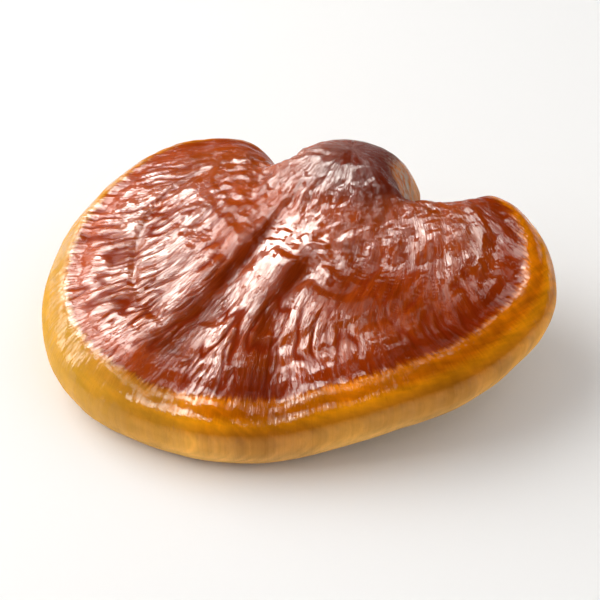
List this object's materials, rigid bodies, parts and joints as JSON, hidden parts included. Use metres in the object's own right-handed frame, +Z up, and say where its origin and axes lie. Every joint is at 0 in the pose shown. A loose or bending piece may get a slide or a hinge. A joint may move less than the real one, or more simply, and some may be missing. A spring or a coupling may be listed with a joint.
{
  "type": "reishi mushroom",
  "caption": "Kidney-shaped lacquered bracket mushroom with a humped, ringed and radially wrinkled cap on a short stem, cut off flat so that it rests on the cut and on its front edge.",
  "frame": {"origin": "under the middle of the mushroom's outline, on the surface it rests on", "axes": "+Z up; +Y from the front edge of the cap towards the stem; +X to the right, seen from the front"},
  "size_m": [0.1486, 0.1204, 0.0499],
  "materials": {
    "cap": "lacquer-like gloss on top, matte pale pores below",
    "stem": "glossy dark crust, matte pale cut"
  },
  "bodies": {
    "root": {"cap": "cap", "stem": "stem"}
  },
  "joints": []
}
